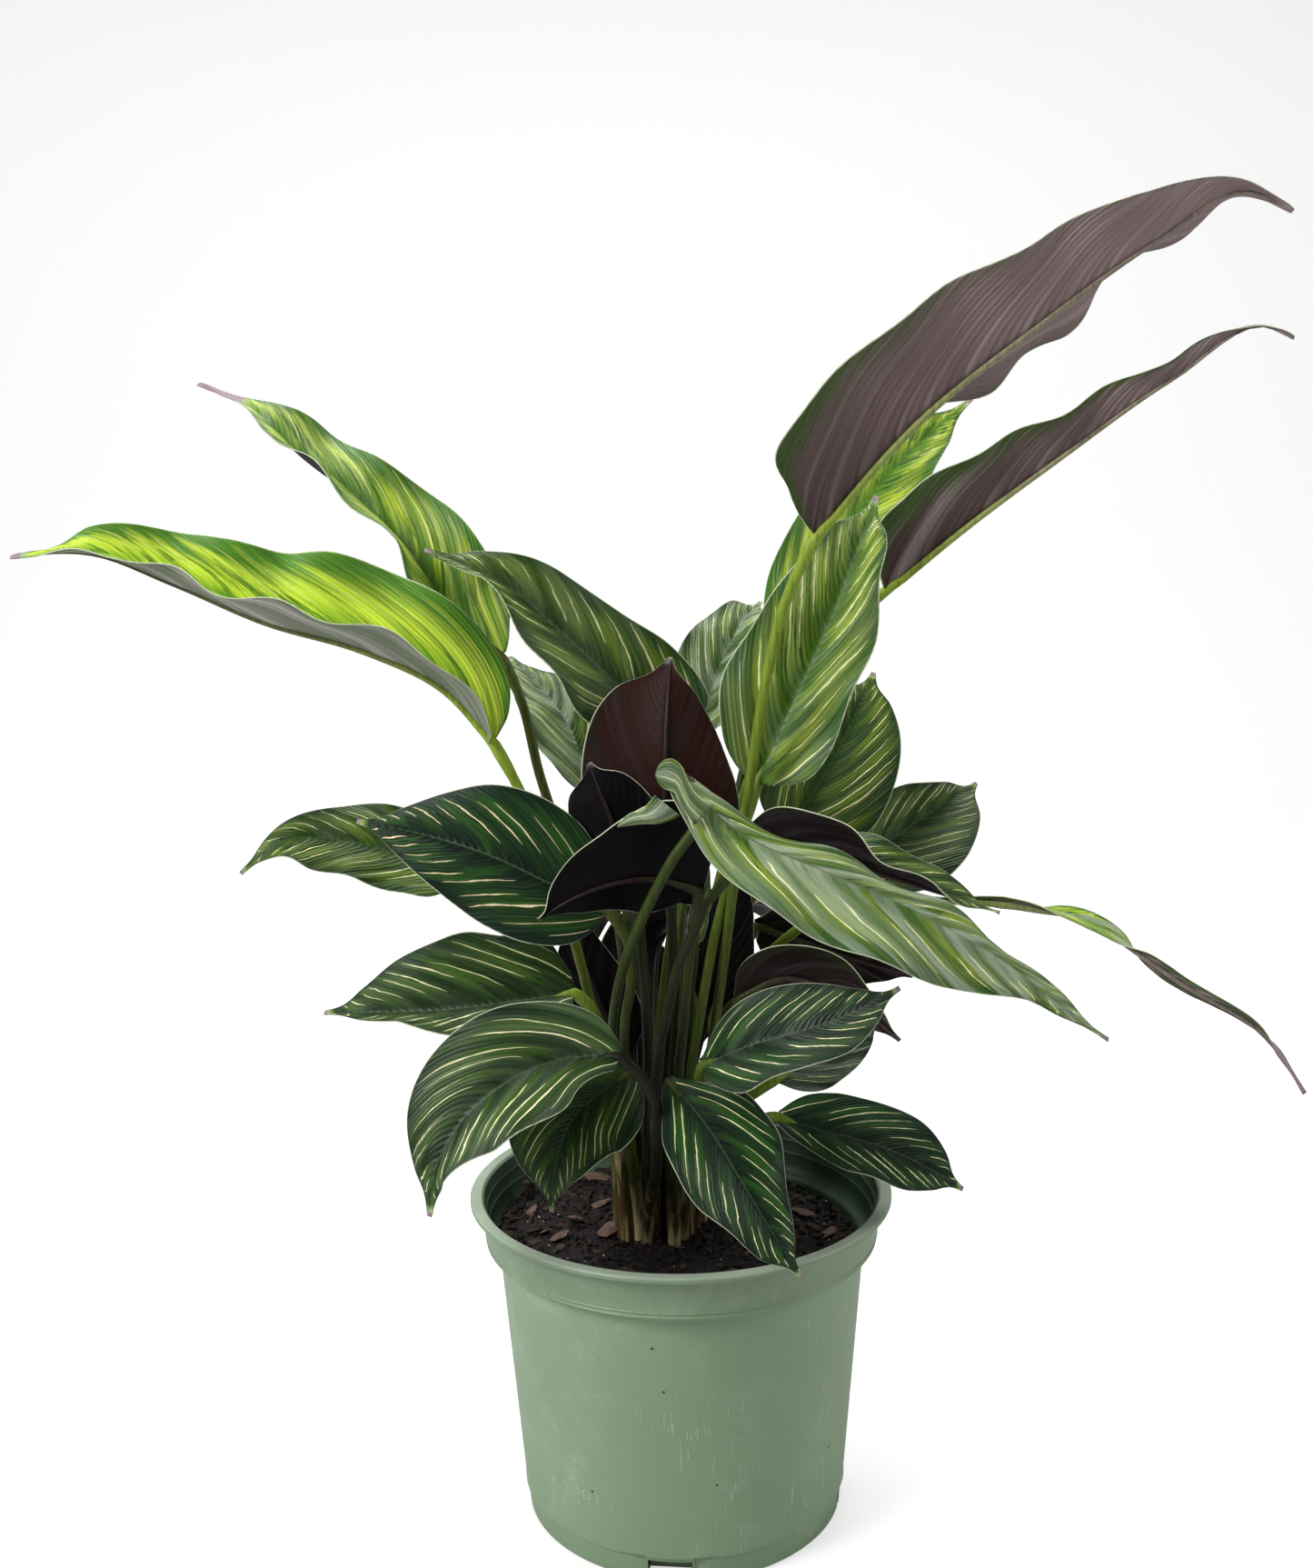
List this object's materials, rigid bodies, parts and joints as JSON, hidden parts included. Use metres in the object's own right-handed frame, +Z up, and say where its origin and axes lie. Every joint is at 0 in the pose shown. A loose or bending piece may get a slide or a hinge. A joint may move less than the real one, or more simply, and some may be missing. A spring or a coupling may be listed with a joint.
{
  "type": "potted pinstripe calathea",
  "caption": "Bushy houseplant with long striped leaves on thin upright stalks, growing in a round green nursery pot filled with peat.",
  "frame": {"origin": "centre of the pot's flat underside", "axes": "+Z up along the pot's axis, -Y towards the front of the plant, +X towards its right as seen from the front"},
  "size_m": [0.4639, 0.241, 0.4979],
  "materials": {
    "pot_plastic": "satin sage green moulded polypropylene, lightly scuffed",
    "peat": "damp near-black peat with bark chips and white specks",
    "leaf": "satin dark green leaf with fine cream to pink stripes and a purple underside",
    "young_leaf": "satin bright yellow-green young leaf",
    "leaf_underside": "satin dark purple-brown leaf underside"
  },
  "bodies": {
    "root": {"leaf_back_centre": "leaf", "leaf_back_left": "leaf", "leaf_back_low_left": "leaf", "leaf_back_low_middle": "leaf", "leaf_back_low_right": "leaf", "leaf_back_right_dark": "leaf_underside", "leaf_back_right_high": "leaf", "leaf_back_right_low": "leaf", "leaf_centre_dark": "leaf_underside", "leaf_centre_small": "leaf_underside", "leaf_centre_upright": "leaf_underside", "leaf_far_left": "young_leaf", "leaf_front": "leaf", "leaf_front_left": "leaf", "leaf_front_right": "leaf", "leaf_inner_left": "leaf_underside", "leaf_inner_olive": "leaf", "leaf_left_arching": "leaf", "leaf_left_behind": "leaf", "leaf_left_broad": "leaf", "leaf_left_high": "young_leaf", "leaf_left_low": "leaf", "leaf_left_upright": "leaf", "leaf_new_spear": "leaf_underside", "leaf_right_dark": "leaf_underside", "leaf_right_drooping": "leaf", "leaf_right_folded": "leaf_underside", "leaf_right_low": "leaf", "leaf_right_narrow": "leaf_underside", "leaf_right_short": "leaf", "leaf_right_striped": "leaf", "leaf_right_twisted": "leaf", "leaf_right_upright": "leaf", "leaf_top_right": "leaf_underside", "peat": "peat", "pot": "pot_plastic"}
  },
  "joints": []
}
